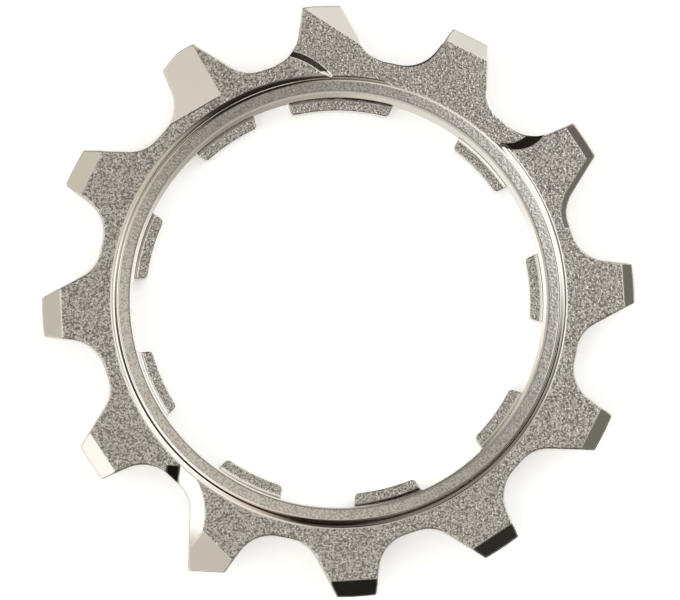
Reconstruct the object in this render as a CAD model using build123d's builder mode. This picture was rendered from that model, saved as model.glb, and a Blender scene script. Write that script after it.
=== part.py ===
# Twelve-tooth cassette cog with its spacer ring and driving tabs, pressed and machined from one piece
# of steel. The axis is Z, the hub side is at Z = 0 and the side that is looked at faces +Z.
# Angles are degrees counted from +X towards +Y, and lengths are millimetres.
import os
from math import pi, radians, sin, tan

from build123d import *

# Chain and teeth: the rollers' middles lie on the pitch circle
chain_pitch = 12.7
roller_diameter = 7.81
tooth_count = 12
first_tooth = 3.4
tip_rise = 0.565
tip_zone = 0.6
tip_round = 0.2

# The gap between two teeth: a short floor and two flanks that lean by different amounts
floor_width = 4.54
floor_shift = 0.72
steep_flank = 65.0
gentle_flank = 50.0
steep_round = 3.2
gentle_round = 2.9

# Widths along the axis
spacer_width = 1.7
plate_width = 1.6
collar_rise = 0.44
pad_rise = 0.4
tab_width = 1.45

# Rings
bore_radius = 17.58
spacer_radius = 18.7
collar_radius = 18.75
collar_lean = 48.0
collar_round = 0.38
lip_bevel = 0.2
spacer_edge_bevel = 0.2

# Driving tabs, left standing between the slots of the hub's spline
slot_count = 9
first_slot = 24.1
slot_width = 6.26
narrow_slot = 2
slot_floor_radius = 17.53
tab_tip_radius = 16.36
tab_tip_round = 0.35
slot_root_round = 0.25
tab_fillet = 0.45

# Outline edges of the plate and the pad
edge_bevel = 0.12

# The raised pad that carries the chain between two ramps
pad_start = 45.5
pad_end = 105.0
pad_inner_radius = 19.05
pad_lean = 46.0
pad_lip_round = 0.12
groove_end = (3.89, 18.66)
groove_end_heading = -39.8
ramp_centre = (-5.59, 14.68)
ramp_radius = 6.22
ramp_round = 0.15
lobe_foot_centre = (15.02, 15.84)
lobe_foot_radius = 2.99
lobe_top_centre = (14.18, 15.81)
lobe_top_radius = 2.47

# Bevels at the tooth tips, as lengths in from the tip, by tooth number
bevel_slope = 14.0
pad_tooth = 2
front_bevels = {0: 1.0, 1: 0.9, 2: 1.25, 5: 1.6, 6: 1.65, 7: 1.35, 9: 1.45, 10: 1.35, 11: 1.2}
back_bevel = 1.2

# Teeth that are cut in their own way
tall_tooth = 8
tall_tip_rise = 0.56
tall_tip_slope = 23.7
short_tooth = 4
short_tip_slope = 17.0
skewed_crease_start = (-2.79, 24.69)
skewed_crease_end = (1.86, 21.66)
skewed_slope = 14.5
wide_crease_angle = 119.85
wide_slope = 8.5
wide_foot_centre = (-7.01, 11.6)
wide_foot_radius = 7.8
wide_foot_lean = 32.0
scoop_centre = (-16.73, -18.0)
scoop_radius = 5.47
scoop_slope = 27.0
scoop_end = (-13.47, -14.02)
scoop_end_heading = 268.0
scoop_end_slope = 29.0
scoop_end_length = 1.1
tall_face_foot = (-11.34, -19.63)
tall_face_heading = 225.0
tall_face_slope = 8.0
rim_bevel_tooth = 1
rim_bevel_depth = 0.18
rim_bevel_lean = 71.0
rim_bevel_end = 0.4
rim_bevel_end_round = 0.55
rim_bevel_end_margin = 0.1

# Worked out from the sizes above
tooth_step = 360 / tooth_count
pitch_radius = chain_pitch / 2 / sin(pi / tooth_count)
root_radius = pitch_radius - roller_diameter / 2
tip_radius = pitch_radius + tip_rise
tall_tip_radius = tip_radius + tall_tip_rise
plate_front = spacer_width + plate_width
collar_front = plate_front + collar_rise
pad_front = plate_front + pad_rise

# How far cutters reach past what they cut: upwards, outwards over a tooth, and to each side of its tip
clear = 1.0
cut_reach = 2 * (tip_radius - root_radius)
tip_reach = tip_radius * sin(pi / tooth_count) / 2


def tooth_angle(number):
    return first_tooth + number * tooth_step


def direction(angle):
    return Vector(1, 0, 0).rotate(Axis.Z, angle)


def turned(angle):
    return Location((0, 0, 0), (0, 0, angle))


def upright(foot, heading):
    """The plane that stands on foot, with its x axis along heading and its y axis up."""
    return Plane(origin=foot, x_dir=direction(heading), z_dir=direction(heading - 90))


def wedge(slope):
    """The side view of what a slanted cut removes: it starts at the crease and falls away."""
    fall = cut_reach * tan(radians(slope))
    return Polygon((0, 0), (cut_reach, -fall), (cut_reach, clear), (0, clear), align=None)


# The gap, drawn above the axis with its steep flank on the right
with BuildSketch() as gap:
    floor_left = floor_shift - floor_width / 2
    floor_right = floor_shift + floor_width / 2
    rim = tall_tip_radius + 2 * clear
    gap_depth = rim - root_radius
    with BuildLine():
        Polyline(
            (floor_left - gap_depth / tan(radians(gentle_flank)), rim),
            (floor_left, root_radius),
            (floor_right, root_radius),
            (floor_right + gap_depth / tan(radians(steep_flank)), rim),
            close=True,
        )
    make_face()
    fillet(gap.vertices().sort_by_distance((floor_right, root_radius))[0], steep_round)
    fillet(gap.vertices().sort_by_distance((floor_left, root_radius))[0], gentle_round)

# The toothed outline, with one tall tooth and one that is cut back
with BuildSketch() as outline:
    Circle(tip_radius)
    with Locations(turned(tooth_angle(tall_tooth) - 90)):
        fall = tip_reach * tan(radians(tall_tip_slope))
        low, high = tall_tip_radius - fall, tall_tip_radius + fall
        Polygon((-tip_reach, root_radius), (tip_reach, root_radius), (tip_reach, high), (-tip_reach, low), align=None)
        Polygon((-tip_reach, low), (tip_reach, high), (-tip_reach, high), align=None, mode=Mode.SUBTRACT)
    with Locations(turned(tooth_angle(short_tooth) - 90)):
        fall = tip_reach * tan(radians(short_tip_slope))
        Polygon((0, tip_radius + clear), (0, tip_radius), (-tip_reach, tip_radius - fall),
                (-tip_reach, tip_radius + clear), align=None, mode=Mode.SUBTRACT)
    with PolarLocations(0, tooth_count, start_angle=first_tooth + tooth_step / 2 - 90):
        add(gap.sketch, mode=Mode.SUBTRACT)
    tips = outline.vertices().filter_by(lambda v: Vector(v.X, v.Y).length > tip_radius - tip_zone)
    fillet(tips, tip_round)

# The cutter that lays the ramp at the pad's far end, turned about its own centre
with BuildPart() as ramp_cutter:
    with BuildSketch(Plane.XZ) as profile:
        wall = pad_rise * tan(radians(pad_lean))
        Polygon((0, plate_front), (ramp_radius, plate_front), (ramp_radius + wall, pad_front),
                (ramp_radius + wall + clear, pad_front), (ramp_radius + wall + clear, pad_front + clear),
                (0, pad_front + clear), align=None)
        corners = [(ramp_radius, plate_front), (ramp_radius + wall, pad_front)]
        for corner in corners:
            fillet(profile.vertices().sort_by_distance(corner)[0], ramp_round)
    revolve(axis=Axis.Z)

# The lobe at the pad's near end: its wall is widest in the middle and runs out at both ends
with BuildPart() as lobe:
    with BuildSketch(Plane.XY.offset(plate_front)):
        with Locations(lobe_foot_centre):
            Circle(lobe_foot_radius)
    with BuildSketch(Plane.XY.offset(pad_front)):
        with Locations(lobe_top_centre):
            Circle(lobe_top_radius)
    loft()
    fillet(lobe.faces().sort_by(Axis.Z)[-1].edges(), pad_lip_round)

# The pad's inner wall, which leaves a narrow groove round the collar as far as the pad's middle
with BuildPart() as inner_cutter:
    with BuildSketch(Plane.XZ) as profile:
        wall = pad_rise * tan(radians(pad_lean))
        Polygon((0, plate_front), (pad_inner_radius - wall, plate_front), (pad_inner_radius, pad_front),
                (pad_inner_radius + clear, pad_front), (pad_inner_radius + clear, pad_front + clear),
                (0, pad_front + clear), align=None)
        fillet(profile.vertices().sort_by_distance((pad_inner_radius, pad_front))[0], pad_lip_round)
    revolve(axis=Axis.Z)
    with BuildSketch(Plane.XY.offset(plate_front)):
        with Locations(Location((*groove_end, 0), (0, 0, groove_end_heading))):
            Rectangle(2 * tip_radius, 2 * tip_radius, align=(Align.CENTER, Align.MAX))
    extrude(amount=pad_rise + clear, mode=Mode.INTERSECT)

# The pad as a plain block before the toothed outline trims it
with BuildPart() as pad_block:
    with BuildSketch(Plane.XY.offset(plate_front)) as pad_plan:
        far = 2 * tip_radius
        Polygon((0, 0), direction(pad_start) * far, direction((pad_start + pad_end) / 2) * far,
                direction(pad_end) * far, align=None)
        Circle((bore_radius + collar_radius) / 2, mode=Mode.SUBTRACT)
    extrude(amount=pad_rise)
    extrude(pad_plan.sketch, amount=-plate_width / 2)
    with Locations(ramp_centre):
        add(ramp_cutter.part, mode=Mode.SUBTRACT)
    add(lobe.part)
    add(inner_cutter.part, mode=Mode.SUBTRACT)

with BuildPart() as pad:
    with BuildSketch(Plane.XY.offset(plate_front - plate_width / 2)):
        add(outline.sketch)
    extrude(amount=pad_rise + plate_width / 2)
    chamfer(pad.faces().sort_by(Axis.Z)[-1].edges(), edge_bevel)
    add(pad_block.part, mode=Mode.INTERSECT)

# What the wide slanted cut on the short tooth removes
with BuildPart() as wide_cutter:
    crease = direction(wide_crease_angle) * pitch_radius
    with BuildSketch(upright((crease.X, crease.Y, plate_front), wide_crease_angle + 90)):
        wedge(wide_slope)
    extrude(amount=tip_radius - root_radius, both=True)
    with Locations((*wide_foot_centre, plate_front + clear)):
        widen = tan(radians(wide_foot_lean))
        Cone(wide_foot_radius + widen * clear, wide_foot_radius - widen * clear, 2 * clear,
             align=(Align.CENTER, Align.CENTER, Align.CENTER), mode=Mode.SUBTRACT)

# What the narrow bevel along one flank removes: the gap itself, flared towards the front, up to a
# rounded end on the floor. It stands in the gap's own place above the axis.
with BuildPart() as rim_cutter:
    with BuildSketch(Plane.XY.offset(plate_front - rim_bevel_depth)):
        add(gap.sketch)
    extrude(amount=2 * rim_bevel_depth, taper=-rim_bevel_lean)
    with BuildSketch(Plane.XY.offset(plate_front - plate_width / 2)) as stretch:
        inner_side = root_radius - rim_bevel_depth * tan(radians(rim_bevel_lean)) - rim_bevel_end_margin
        Polygon((rim_bevel_end, inner_side), (rim_bevel_end, 2 * rim), (-rim, 2 * rim), (-rim, inner_side),
                align=None)
        fillet(stretch.vertices().sort_by_distance((rim_bevel_end, inner_side))[0], rim_bevel_end_round)
    extrude(amount=plate_width, mode=Mode.INTERSECT)

# What the scoop in the tall tooth removes: a shallow cone, ended by an upright plane
with BuildPart() as scoop_cutter:
    with Locations((*scoop_centre, plate_front)):
        Cone(scoop_radius - clear / tan(radians(scoop_slope)), scoop_radius, clear,
             align=(Align.CENTER, Align.CENTER, Align.MAX))
    split(bisect_by=Plane(origin=(*scoop_end, 0), z_dir=direction(scoop_end_heading + 90)))

with BuildPart() as cog:
    # Toothed plate with its outline edges broken, open where the rings go
    with BuildSketch(Plane.XY.offset(spacer_width)):
        add(outline.sketch)
        Circle(spacer_radius, mode=Mode.SUBTRACT)
    extrude(amount=plate_width)
    chamfer(cog.faces().sort_by(Axis.Z)[-1].outer_wire().edges(), edge_bevel)
    chamfer(cog.faces().sort_by(Axis.Z)[0].outer_wire().edges(), edge_bevel)
    add(pad.part)

    # Spacer ring, collar and the ring that the tabs are cut from
    with BuildSketch(Plane.XZ) as rings:
        foot = collar_radius + collar_rise * tan(radians(collar_lean))
        seat = foot + collar_round
        Polygon(
            (tab_tip_radius - clear, 0),
            (spacer_radius, 0),
            (spacer_radius, spacer_width),
            (seat, spacer_width),
            (seat, plate_front),
            (foot, plate_front),
            (collar_radius, collar_front),
            (bore_radius, collar_front),
            (bore_radius, tab_width),
            (tab_tip_radius - clear, tab_width),
            align=None,
        )
        for corner in [(foot, plate_front), (collar_radius, collar_front)]:
            fillet(rings.vertices().sort_by_distance(corner)[0], collar_round)
        fillet(rings.vertices().sort_by_distance((bore_radius, tab_width))[0], tab_fillet)
        chamfer(rings.vertices().sort_by_distance((bore_radius, collar_front))[0], lip_bevel)
        chamfer(rings.vertices().sort_by_distance((spacer_radius, 0))[0], spacer_edge_bevel)
    revolve(axis=Axis.Z)

    # The opening that fits over the hub's spline
    with BuildSketch(Plane.XY.offset(-clear)) as opening:
        slot_length = slot_floor_radius - tab_tip_radius + 2 * clear
        with PolarLocations(slot_floor_radius, slot_count, start_angle=first_slot):
            Rectangle(2 * slot_length, slot_width)
        with PolarLocations(slot_floor_radius, 1, start_angle=first_slot + narrow_slot * 360 / slot_count):
            with Locations((0, -slot_width / 4)):
                Rectangle(2 * slot_length, slot_width / 2, mode=Mode.SUBTRACT)
        Circle(slot_floor_radius, mode=Mode.INTERSECT)
        Circle(tab_tip_radius)
        corners = opening.vertices().group_by(lambda v: round(Vector(v.X, v.Y).length, 2))
        fillet(corners[-1], slot_root_round)
        corners = opening.vertices().group_by(lambda v: round(Vector(v.X, v.Y).length, 2))
        fillet(corners[0], tab_tip_round)
    extrude(amount=collar_front + 2 * clear, mode=Mode.SUBTRACT)

    # Bevels at the tooth tips, front and back
    for number, length in front_bevels.items():
        crease = direction(tooth_angle(number)) * (tip_radius - length)
        front = pad_front if number == pad_tooth else plate_front
        with BuildSketch(upright((crease.X, crease.Y, front), tooth_angle(number))):
            wedge(bevel_slope)
        extrude(amount=tip_radius - root_radius, both=True, mode=Mode.SUBTRACT)
    with BuildSketch(Plane.XZ):
        with Locations((tip_radius - back_bevel, spacer_width)):
            with Locations(Location((0, 0, 0), (180, 0, 0))):
                wedge(bevel_slope)
    revolve(axis=Axis.Z, mode=Mode.SUBTRACT)

    # Teeth that are cut in their own way
    start, end = Vector(*skewed_crease_start), Vector(*skewed_crease_end)
    middle = (start + end) / 2
    heading = (end - start).get_signed_angle(Vector(1, 0, 0), Vector(0, 0, -1)) + 90
    with BuildSketch(upright((middle.X, middle.Y, pad_front), heading)):
        wedge(skewed_slope)
    extrude(amount=(end - start).length, both=True, mode=Mode.SUBTRACT)
    add(wide_cutter.part, mode=Mode.SUBTRACT)
    add(scoop_cutter.part, mode=Mode.SUBTRACT)
    with BuildSketch(upright((*scoop_end, plate_front), scoop_end_heading)):
        wedge(scoop_end_slope)
    extrude(amount=scoop_end_length, mode=Mode.SUBTRACT)
    with BuildSketch(upright((*tall_face_foot, plate_front), tall_face_heading)):
        wedge(tall_face_slope)
    extrude(amount=tip_radius - root_radius, both=True, mode=Mode.SUBTRACT)
    with Locations(turned(tooth_angle(rim_bevel_tooth) - tooth_step / 2 - 90)):
        add(rim_cutter.part, mode=Mode.SUBTRACT)

cog.part.label = "cog"
os.makedirs("parts", exist_ok=True)
export_step(cog.part, "parts/cog.step")
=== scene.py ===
import math

import bpy
from mathutils import Matrix, Vector


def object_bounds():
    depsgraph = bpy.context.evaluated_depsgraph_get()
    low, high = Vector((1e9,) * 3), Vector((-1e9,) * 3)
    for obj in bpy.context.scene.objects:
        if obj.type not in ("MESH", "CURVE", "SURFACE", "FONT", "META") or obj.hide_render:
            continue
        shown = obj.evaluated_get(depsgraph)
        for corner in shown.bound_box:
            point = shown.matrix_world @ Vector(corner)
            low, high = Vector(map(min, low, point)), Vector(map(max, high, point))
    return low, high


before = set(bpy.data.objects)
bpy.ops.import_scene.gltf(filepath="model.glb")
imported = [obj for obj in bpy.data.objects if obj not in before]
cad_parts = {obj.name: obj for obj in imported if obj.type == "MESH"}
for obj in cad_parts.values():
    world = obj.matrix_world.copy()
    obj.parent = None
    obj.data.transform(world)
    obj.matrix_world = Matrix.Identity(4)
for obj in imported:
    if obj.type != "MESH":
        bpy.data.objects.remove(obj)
cadBox = [list(corner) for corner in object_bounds()]
print("frame loaded", cadBox)

mm = 0.001  # Blender works in metres


def linear(hexColour):
    # sRGB hex to the linear values that shaders take
    channels = [int(hexColour[i:i + 2], 16) / 255 for i in (1, 3, 5)]
    return [c / 12.92 if c <= 0.04045 else ((c + 0.055) / 1.055) ** 2.4 for c in channels] + [1.0]


def addNode(tree, kind, settings=None, **links):
    # settings are socket values or node properties, links are sockets to plug in
    node = tree.nodes.new(kind)
    for name, value in (settings or {}).items():
        if isinstance(name, str) and hasattr(node, name):
            setattr(node, name, value)
        else:
            node.inputs[name].default_value = value
    for name, source in links.items():
        key = int(name[1:]) if name[0] == "_" else name.replace("_", " ")
        tree.links.new(source, node.inputs[key])
    return node


# Camera: above the cog, leaning a little to the lower left as the photo does
camera = {
    "distance": 420 * mm,
    "lean": 5.0,        # degrees off the cog's axis
    "towards": 245.0,   # where it leans to, degrees from +X
    "pixel": 0.0846 * mm,  # size of a picture pixel at the plate's front
    "width": 680,       # of the picture, in pixels
    "aim": (0.08 * mm, 0.0, 3.3 * mm),
    "sensor": 36.0,     # width in Blender's millimetres
    "near": 10 * mm,    # nothing closer than this is drawn
}


def addCamera():
    lean, towards = math.radians(camera["lean"]), math.radians(camera["towards"])
    back = Vector((math.sin(lean) * math.cos(towards), math.sin(lean) * math.sin(towards), math.cos(lean)))
    right = Vector((0, 1, 0)).cross(back).normalized()
    up = back.cross(right)
    pose = Matrix((right, up, back)).transposed().to_4x4()
    pose.translation = Vector(camera["aim"]) + back * camera["distance"]
    data = bpy.data.cameras.new("camera")
    data.sensor_width = camera["sensor"]
    data.lens = camera["sensor"] * camera["distance"] / (camera["width"] * camera["pixel"])
    data.clip_start = camera["near"]
    eye = bpy.data.objects.new("camera", data)
    eye.matrix_world = pose
    bpy.context.scene.collection.objects.link(eye)
    bpy.context.scene.camera = eye


addCamera()
print("camera placed")

# Studio round the cog, in rings of soft panels with flags in front. What a bright slope mirrors depends on
# which way it faces. The colours are fitted to the photo, bevel by bevel, for this camera and pose, so
# they aren't a neutral light. Each ring lists its colours by azimuth, from -180 to 180 degrees.
studio = {
    "strength": 1.75,
    "blend": 3.0,  # degrees over which one ring runs into the next
    # how far off the axis each ring ends, degrees, and its colours
    "rings": [
        (3.5, [(-180, "#bcb8b1"), (-115, "#c6c2ba"), (-40, "#b8b4ac"), (20, "#8b8883"), (65, "#827f7b"),
               (110, "#979490"), (180, "#bcb8b1")]),
        (13, [(-180, "#b6b2aa"), (-155, "#bcb8b0"), (-78, "#bcb8b0"), (-40, "#a8a59f"), (8, "#8b8883"),
              (40, "#7a7773"), (66, "#767370"), (100, "#8b8883"), (114, "#949089"), (130, "#c2beb5"),
              (160, "#c2beb5"), (180, "#b6b2aa")]),
        (17, [(-180, "#a29e97"), (-155, "#b2aea6"), (-78, "#b2aea6"), (-40, "#a29f99"), (-12, "#979490"),
              (2, "#ffffff"), (50, "#ffffff"), (62, "#8b8883"), (100, "#7e7b76"), (134, "#8b8883"),
              (180, "#a29e97")]),
        (26, [(-180, "#ffffff"), (-112, "#ffffff"), (-92, "#dcd6cb"), (-70, "#a8a39a"), (-50, "#959189"),
              (-24, "#a8a49d"), (-8, "#dad7d1"), (4, "#ffffff"), (48, "#ffffff"), (76, "#e6e3dd"),
              (90, "#8d8880"), (100, "#2e2925"), (118, "#2e2925"), (130, "#b5ada1"), (142, "#d2cdc4"),
              (156, "#eae6de"), (166, "#ffffff"), (180, "#ffffff")]),
        (38, [(-180, "#b5b0a5"), (-164, "#c0bcb2"), (-155, "#f4f2ee"), (-139, "#f4f2ee"), (-130, "#e6e2da"),
              (-112, "#c8c0b4"), (-98, "#3c332b"), (-72, "#6e6963"), (-56, "#827e77"), (-40, "#8f8b85"),
              (-26, "#6a6861"), (16, "#66645e"), (24, "#5a544c"), (34, "#463f38"), (44, "#463f38"),
              (50, "#d6d4d0"), (78, "#d2d0cc"), (88, "#b0aba3"), (97, "#2a2522"), (118, "#2a2522"),
              (130, "#c5c0b5"), (150, "#b9b4a9"), (180, "#b5b0a5")]),
        (46, [(-180, "#b5b0a5"), (-164, "#c0bcb2"), (-155, "#f4f2ee"), (-139, "#f4f2ee"), (-130, "#e6e2da"),
              (-112, "#c8c0b4"), (-98, "#3c332b"), (-72, "#6e6963"), (-56, "#827e77"), (-24, "#8f8b85"),
              (-6, "#aeaba5"), (4, "#ffffff"), (48, "#ffffff"), (54, "#dcdad6"), (78, "#d6d4cf"),
              (88, "#b0aba3"), (97, "#2a2522"), (118, "#2a2522"), (130, "#b9b4a9"), (150, "#b9b4a9"),
              (180, "#b5b0a5")]),
        (68, [(-180, "#ffffff"), (-128, "#ffffff"), (-112, "#b7ab9c"), (-100, "#14100e"), (-84, "#14100e"),
              (-70, "#6e6a63"), (-30, "#74706a"), (-8, "#aaa7a1"), (4, "#e6e4df"), (12, "#ffffff"),
              (48, "#ffffff"), (62, "#cfccc4"), (84, "#6e6a64"), (96, "#1f1a17"), (118, "#1f1a17"),
              (130, "#8f8b83"), (150, "#cdc8be"), (164, "#ffffff"), (180, "#ffffff")]),
        (86, [(-180, "#4a4038"), (-165, "#1e1a17"), (-96, "#1e1814"), (-60, "#1e1a17"), (-6, "#24201c"),
              (8, "#e6e4df"), (14, "#ffffff"), (46, "#ffffff"), (62, "#8b8680"), (84, "#3a3733"),
              (98, "#1f1a17"), (122, "#1f1a17"), (140, "#6a655c"), (164, "#b5b0a5"), (180, "#4a4038")]),
        (180, [(-180, "#6f6352"), (-150, "#5d4628"), (-120, "#4c2e14"), (-96, "#2a1a10"), (-70, "#3a332d"),
               (-16, "#2c2622"), (2, "#4c4640"), (12, "#ffffff"), (42, "#f4f2ee"), (64, "#7c7871"),
               (100, "#2a2622"), (130, "#4c4842"), (150, "#6a655c"), (180, "#6f6352")]),
    ],
    # flags in front of the panels: azimuth, degrees off the axis, half width in degrees, colour
    "flags": [
        # dark, for the bevels at the lower right
        (-47.1, 25.8, 5.5, "#0f0e0c"), (-80.8, 24.5, 6.0, "#0f0e0c"),
        # grey, in a row, for the bevel along the flank at the right
        (-28.0, 39.4, 5.5, "#66645e"), (-14.0, 40.5, 5.5, "#66645e"), (-1.0, 41.5, 5.5, "#66645e"),
        (11.0, 42.5, 5.5, "#66645e"), (22.0, 43.3, 5.0, "#66645e"),
        # light, for the wide cut at the upper left
        (-162.5, 13.2, 4.5, "#cac6be"),
    ],
    "flagEdge": (1.2, 0.8),  # a flag fades in between these shares of its half width
}


def buildWorld():
    world = bpy.data.worlds.new("softStudio")
    world.use_nodes = True
    tree = world.node_tree
    tree.nodes.clear()
    place = addNode(tree, "ShaderNodeTexCoord")
    axes = addNode(tree, "ShaderNodeSeparateXYZ", _0=place.outputs["Generated"])
    tilt = addNode(tree, "ShaderNodeMath", {"operation": "ARCCOSINE"}, _0=axes.outputs["Z"])
    angle = addNode(tree, "ShaderNodeMath", {"operation": "ARCTAN2"}, _0=axes.outputs["Y"],
                    _1=axes.outputs["X"])
    turn = addNode(tree, "ShaderNodeMapRange", {1: -math.pi, 2: math.pi}, _0=angle.outputs[0])
    halfBlend = studio["blend"] / 2
    sky, inner = None, 0
    for outer, stops in studio["rings"]:
        ramp = addNode(tree, "ShaderNodeValToRGB", _0=turn.outputs[0])
        ramp.color_ramp.elements.remove(ramp.color_ramp.elements[1])
        for index, (azimuth, colour) in enumerate(stops):
            spot = (azimuth + 180) / 360
            stop = ramp.color_ramp.elements.new(spot) if index else ramp.color_ramp.elements[0]
            stop.position, stop.color = spot, linear(colour)
        if sky is None:
            sky = ramp.outputs[0]
        else:
            edge = addNode(tree, "ShaderNodeMapRange", {"interpolation_type": "SMOOTHSTEP",
                           1: math.radians(inner - halfBlend), 2: math.radians(inner + halfBlend)},
                           _0=tilt.outputs[0])
            sky = addNode(tree, "ShaderNodeMix", {"data_type": "RGBA"}, _0=edge.outputs[0], _6=sky,
                          _7=ramp.outputs[0]).outputs[2]
        inner = outer
    fadeFrom, fadeTo = studio["flagEdge"]
    for azimuth, off, half, colour in studio["flags"]:
        turned, down = math.radians(azimuth), math.radians(off)
        middle = (math.sin(down) * math.cos(turned), math.sin(down) * math.sin(turned), math.cos(down))
        near = addNode(tree, "ShaderNodeVectorMath", {"operation": "DOT_PRODUCT", 1: middle},
                       _0=place.outputs["Generated"])
        cover = addNode(tree, "ShaderNodeMapRange", {"interpolation_type": "SMOOTHSTEP",
                        1: math.cos(math.radians(half * fadeFrom)), 2: math.cos(math.radians(half * fadeTo))},
                        _0=near.outputs["Value"])
        sky = addNode(tree, "ShaderNodeMix", {"data_type": "RGBA", 7: linear(colour)}, _0=cover.outputs[0],
                      _6=sky).outputs[2]
    light = addNode(tree, "ShaderNodeBackground", {"Strength": studio["strength"]}, Color=sky)
    addNode(tree, "ShaderNodeOutputWorld", Surface=light.outputs[0])
    bpy.context.scene.world = world


buildWorld()
print("studio lit")

# Floor: white matt board. What the camera and the metal see of it is lifted to white, shadows stay
floor = {
    "half": 900 * mm,
    "drop": 0.02 * mm,  # how far it lies below the cog
    "colour": "#fdfdfc",
    "roughness": 0.9,
    "lift": 0.45,       # emission, for the camera and in the metal alone
    "liftColour": "#ffffff",
}


def buildFloor():
    half = floor["half"]
    mesh = bpy.data.meshes.new("floor")
    z = cadBox[0][2] - floor["drop"]
    corners = [(-half, -half, z), (half, -half, z), (half, half, z), (-half, half, z)]
    mesh.from_pydata(corners, [], [(0, 1, 2, 3)])
    board = bpy.data.objects.new("floor", mesh)
    bpy.context.scene.collection.objects.link(board)
    material = bpy.data.materials.new("mattBoard")
    material.use_nodes = True
    tree = material.node_tree
    shader = tree.nodes["Principled BSDF"]
    shader.inputs["Base Color"].default_value = linear(floor["colour"])
    shader.inputs["Roughness"].default_value = floor["roughness"]
    shader.inputs["Specular IOR Level"].default_value = 0.0
    shader.inputs["Emission Color"].default_value = linear(floor["liftColour"])
    ray = addNode(tree, "ShaderNodeLightPath")
    seen = addNode(tree, "ShaderNodeMath", {"operation": "MAXIMUM"}, _0=ray.outputs["Is Camera Ray"],
                   _1=ray.outputs["Is Glossy Ray"])
    lift = addNode(tree, "ShaderNodeMath", {"operation": "MULTIPLY", 1: floor["lift"]}, _0=seen.outputs[0])
    tree.links.new(lift.outputs[0], shader.inputs["Emission Strength"])
    mesh.materials.append(material)


buildFloor()

# Nickel plate over blasted steel. Level faces keep the grit's sparkling grain. Slopes and edges were cut
# after the blast and shine, with sharp highlights beside brown-black lines.
nickelPlate = {
    "colour": "#cfccc6",
    # painted shade: the colour of the dark specks painted into the grit's pits
    "pitShadeColour": "#87847f",
    "pitSize": 0.16 * mm,
    "pitRange": (0.3, 0.6),    # noise levels between which a pit fades out
    "grainSize": 0.2 * mm,
    "grainDepth": 0.035 * mm,
    "grainRoughness": 0.16,
    "slopeRoughness": 0.1,
    "edgeRound": 0.2 * mm,
    "level": (0.993, 0.9985),  # how squarely a face must look up to count as level
}

# Shading of the collar as a profile round the axis. It smooths the model's flank, and gives the flat top
# a lip and a crown that the model doesn't have
collar = {
    "base": 3.302 * mm,    # height of the plate's front
    "inside": 17.6 * mm,
    "lip": 17.85 * mm,     # the ring falls off to the bore inside this
    "lipSlope": 11.0,      # degrees
    "top": 18.56 * mm,     # where the level ring starts to round over
    "foot": 19.42 * mm,    # where the flank has run out into the plate
    "topRound": 0.42 * mm,
    "footRound": 0.79 * mm,
    "crown": 3.0,          # degrees that the level ring falls outwards
    "turn": 0.06 * mm,     # past the top, where only faces that lean outwards belong to it
    "leastLean": (-0.9, 0.02),  # how far outwards a face must lean, at the inside and past the top
    "grain": 0.25,         # of the plate's grain
    "pitShade": 0.5,           # of the plate's painted shade in the grit's pits
}

# Shading of the raised pad's walls and the bore's wall, at one set slope each. It is chosen for the dark
# and the light that the photo shows there, and isn't the slope of the model
padWall = {
    # middle and half of the range in which a face counts as such a wall
    "radius": (21.5 * mm, 2.0 * mm),
    "height": (3.5 * mm, 0.19 * mm),
    "upness": (0.70, 0.257),
    "slope": 39.0,          # degrees off level
}
boreWall = {
    "radius": 17.4 * mm,    # the wall lies outside this
    "lean": -0.75,          # and leans further to the axis than this
    "slope": 12.0,          # degrees off level
}


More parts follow.
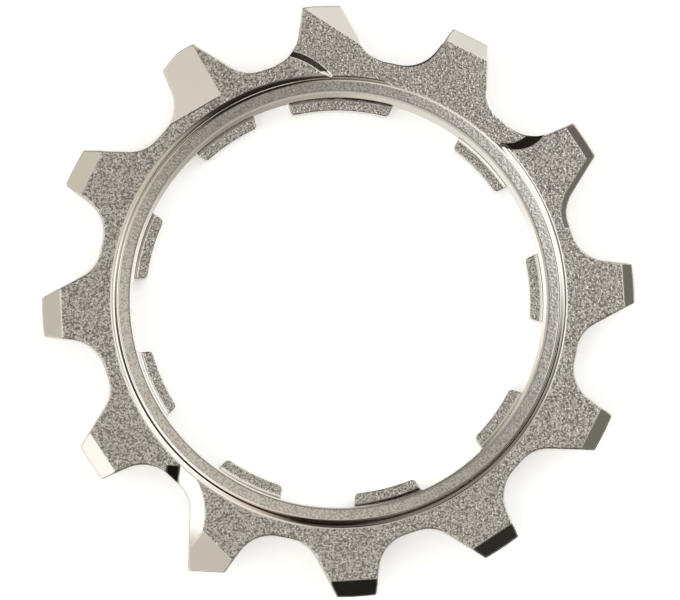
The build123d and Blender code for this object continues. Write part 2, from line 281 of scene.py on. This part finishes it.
def nickelPlatedSteel():
    values = nickelPlate
    toWorld = {"vector_type": "NORMAL", "convert_from": "OBJECT", "convert_to": "WORLD"}
    sideways, up = (1, 1, 0), (0, 0, 1)
    material = bpy.data.materials.new("nickelPlatedSteel")
    material.use_nodes = True
    tree = material.node_tree
    shader = tree.nodes["Principled BSDF"]
    shader.inputs["Metallic"].default_value = 1.0
    place = addNode(tree, "ShaderNodeTexCoord")
    spot = addNode(tree, "ShaderNodeSeparateXYZ", _0=place.outputs["Object"])
    facing = addNode(tree, "ShaderNodeSeparateXYZ", _0=place.outputs["Normal"])

    # outward direction from the axis and distance to it
    across = addNode(tree, "ShaderNodeVectorMath", {"operation": "MULTIPLY", 1: sideways},
                     _0=place.outputs["Object"])
    length = addNode(tree, "ShaderNodeVectorMath", {"operation": "LENGTH"}, _0=across.outputs[0])
    radius = length.outputs["Value"]
    outward = addNode(tree, "ShaderNodeVectorMath", {"operation": "NORMALIZE"}, _0=across.outputs[0])
    leaning = addNode(tree, "ShaderNodeVectorMath", {"operation": "DOT_PRODUCT"}, _0=place.outputs["Normal"],
                      _1=outward.outputs[0])
    lean = leaning.outputs["Value"]

    # slope of the collar at this radius, as the sine of its angle
    crown, lipFall = math.sin(math.radians(collar["crown"])), math.sin(math.radians(collar["lipSlope"]))
    topCurve = addNode(tree, "ShaderNodeMapRange", {"clamp": False, 1: collar["top"],
                       2: collar["top"] + collar["topRound"]}, _0=radius)
    rise = addNode(tree, "ShaderNodeMath", {"operation": "MAXIMUM", 1: crown}, _0=topCurve.outputs[0])
    footCurve = addNode(tree, "ShaderNodeMapRange", {"clamp": False, 1: collar["foot"],
                        2: collar["foot"] - collar["footRound"]}, _0=radius)
    lip = addNode(tree, "ShaderNodeMapRange", {"clamp": False, 1: collar["inside"], 2: collar["lip"],
                  3: -lipFall, 4: crown}, _0=radius)
    flank = addNode(tree, "ShaderNodeMath", {"operation": "MINIMUM"}, _0=rise.outputs[0],
                    _1=footCurve.outputs[0])
    sine = addNode(tree, "ShaderNodeMath", {"operation": "MINIMUM"}, _0=flank.outputs[0], _1=lip.outputs[0])
    square = addNode(tree, "ShaderNodeMath", {"operation": "MULTIPLY"}, _0=sine.outputs[0],
                     _1=sine.outputs[0])
    rest = addNode(tree, "ShaderNodeMath", {"operation": "SUBTRACT", 0: 1.0}, _1=square.outputs[0])
    cosine = addNode(tree, "ShaderNodeMath", {"operation": "SQRT"}, _0=rest.outputs[0])
    push = addNode(tree, "ShaderNodeVectorMath", {"operation": "SCALE"}, _0=outward.outputs[0],
                   Scale=sine.outputs[0])
    lift = addNode(tree, "ShaderNodeCombineXYZ", Z=cosine.outputs[0])
    profile = addNode(tree, "ShaderNodeVectorMath", {"operation": "ADD"}, _0=push.outputs[0],
                      _1=lift.outputs[0])
    turned = addNode(tree, "ShaderNodeVectorTransform", toWorld, _0=profile.outputs[0])

    # the collar is where the surface stands above the plate, within the ring, and doesn't face the axis
    inside = addNode(tree, "ShaderNodeMath", {"operation": "GREATER_THAN", 1: collar["inside"]}, _0=radius)
    within = addNode(tree, "ShaderNodeMath", {"operation": "LESS_THAN", 1: collar["foot"]}, _0=radius)
    above = addNode(tree, "ShaderNodeMath", {"operation": "GREATER_THAN", 1: collar["base"]},
                    _0=spot.outputs["Z"])
    least = addNode(tree, "ShaderNodeMapRange", {1: collar["inside"], 2: collar["top"] + collar["turn"],
                    3: collar["leastLean"][0], 4: collar["leastLean"][1]}, _0=radius)
    away = addNode(tree, "ShaderNodeMath", {"operation": "GREATER_THAN"}, _0=lean, _1=least.outputs[0])
    ring = inside.outputs[0]
    for test in (within, above, away):
        ring = addNode(tree, "ShaderNodeMath", {"operation": "MULTIPLY"}, _0=ring,
                       _1=test.outputs[0]).outputs[0]

    # the edges are shaded as if they were rounded
    rounded = addNode(tree, "ShaderNodeBevel", {"samples": 6, "Radius": values["edgeRound"]})

    # the pad's walls, found by place and slope, are shaded at their set slope
    band = addNode(tree, "ShaderNodeMath", {"operation": "COMPARE", 1: padWall["radius"][0],
                   2: padWall["radius"][1]}, _0=radius)
    layer = addNode(tree, "ShaderNodeMath", {"operation": "COMPARE", 1: padWall["height"][0],
                    2: padWall["height"][1]}, _0=spot.outputs["Z"])
    leant = addNode(tree, "ShaderNodeMath", {"operation": "COMPARE", 1: padWall["upness"][0],
                    2: padWall["upness"][1]}, _0=facing.outputs["Z"])
    coined = band.outputs[0]
    for test in (layer, leant):
        coined = addNode(tree, "ShaderNodeMath", {"operation": "MULTIPLY"}, _0=coined,
                         _1=test.outputs[0]).outputs[0]
    flat = addNode(tree, "ShaderNodeVectorMath", {"operation": "MULTIPLY", 1: sideways},
                   _0=place.outputs["Normal"])
    heading = addNode(tree, "ShaderNodeVectorMath", {"operation": "NORMALIZE"}, _0=flat.outputs[0])
    reach = addNode(tree, "ShaderNodeVectorMath", {"operation": "SCALE",
                    "Scale": math.tan(math.radians(padWall["slope"]))}, _0=heading.outputs[0])
    padSlope = addNode(tree, "ShaderNodeVectorMath", {"operation": "ADD", 1: up}, _0=reach.outputs[0])
    padNormal = addNode(tree, "ShaderNodeVectorTransform", toWorld, _0=padSlope.outputs[0])
    withPad = addNode(tree, "ShaderNodeMix", {"data_type": "VECTOR"}, _0=coined, _4=rounded.outputs[0],
                      _5=padNormal.outputs[0])

    # the bore's wall is shaded at its set slope too
    steep = addNode(tree, "ShaderNodeMath", {"operation": "LESS_THAN", 1: boreWall["lean"]}, _0=lean)
    outside = addNode(tree, "ShaderNodeMath", {"operation": "GREATER_THAN", 1: boreWall["radius"]}, _0=radius)
    bore = addNode(tree, "ShaderNodeMath", {"operation": "MULTIPLY"}, _0=steep.outputs[0],
                   _1=outside.outputs[0])
    inward = addNode(tree, "ShaderNodeVectorMath", {"operation": "SCALE",
                     "Scale": -math.tan(math.radians(boreWall["slope"]))}, _0=outward.outputs[0])
    boreSlope = addNode(tree, "ShaderNodeVectorMath", {"operation": "ADD", 1: up}, _0=inward.outputs[0])
    boreNormal = addNode(tree, "ShaderNodeVectorTransform", toWorld, _0=boreSlope.outputs[0])
    withBore = addNode(tree, "ShaderNodeMix", {"data_type": "VECTOR"}, _0=bore.outputs[0],
                       _4=withPad.outputs[1], _5=boreNormal.outputs[0])
    withCollar = addNode(tree, "ShaderNodeMix", {"data_type": "VECTOR"}, _0=ring, _4=withBore.outputs[1],
                         _5=turned.outputs[0])
    normal = addNode(tree, "ShaderNodeVectorMath", {"operation": "NORMALIZE"}, _0=withCollar.outputs[1])

    # level faces carry the grain, slopes don't
    upness = addNode(tree, "ShaderNodeMath", {"operation": "ABSOLUTE"}, _0=facing.outputs["Z"])
    level = addNode(tree, "ShaderNodeMapRange", {1: values["level"][0], 2: values["level"][1]},
                    _0=upness.outputs[0])
    calm = addNode(tree, "ShaderNodeMapRange", {3: 1.0, 4: collar["grain"]}, _0=ring)
    depth = addNode(tree, "ShaderNodeMath", {"operation": "MULTIPLY"}, _0=level.outputs[0],
                    _1=calm.outputs[0])
    roughness = addNode(tree, "ShaderNodeMapRange", {3: values["slopeRoughness"],
                        4: values["grainRoughness"]}, _0=level.outputs[0])
    tree.links.new(roughness.outputs[0], shader.inputs["Roughness"])
    grain = addNode(tree, "ShaderNodeTexNoise", {"Scale": 1 / values["grainSize"], "Detail": 1.0,
                    "Roughness": 0.5}, Vector=place.outputs["Object"])
    bump = addNode(tree, "ShaderNodeBump", {"Distance": values["grainDepth"]}, Height=grain.outputs[0],
                   Strength=depth.outputs[0], Normal=normal.outputs[0])
    tree.links.new(bump.outputs[0], shader.inputs["Normal"])

    # painted shade: the bottoms of the grit's pits are painted darker than their rims, as random noise specks
    grit = addNode(tree, "ShaderNodeTexNoise", {"Scale": 1 / values["pitSize"], "Detail": 0.0},
                   Vector=place.outputs["Object"])
    pitShade = addNode(tree, "ShaderNodeMapRange", {1: values["pitRange"][0], 2: values["pitRange"][1],
                   3: 1.0, 4: 0.0}, _0=grit.outputs[0])
    fewer = addNode(tree, "ShaderNodeMapRange", {3: 1.0, 4: collar["pitShade"]}, _0=ring)
    dark = pitShade.outputs[0]
    for share in (fewer, level):
        dark = addNode(tree, "ShaderNodeMath", {"operation": "MULTIPLY"}, _0=dark,
                       _1=share.outputs[0]).outputs[0]
    tone = addNode(tree, "ShaderNodeMix", {"data_type": "RGBA", 6: linear(values["colour"]),
                   7: linear(values["pitShadeColour"])}, _0=dark)
    tree.links.new(tone.outputs[2], shader.inputs["Base Color"])
    return material


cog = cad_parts["cog"]
plate = nickelPlatedSteel()
for slot in cog.material_slots:
    slot.material = plate
print("cog finished")

bpy.context.scene.view_settings.view_transform = "Standard"
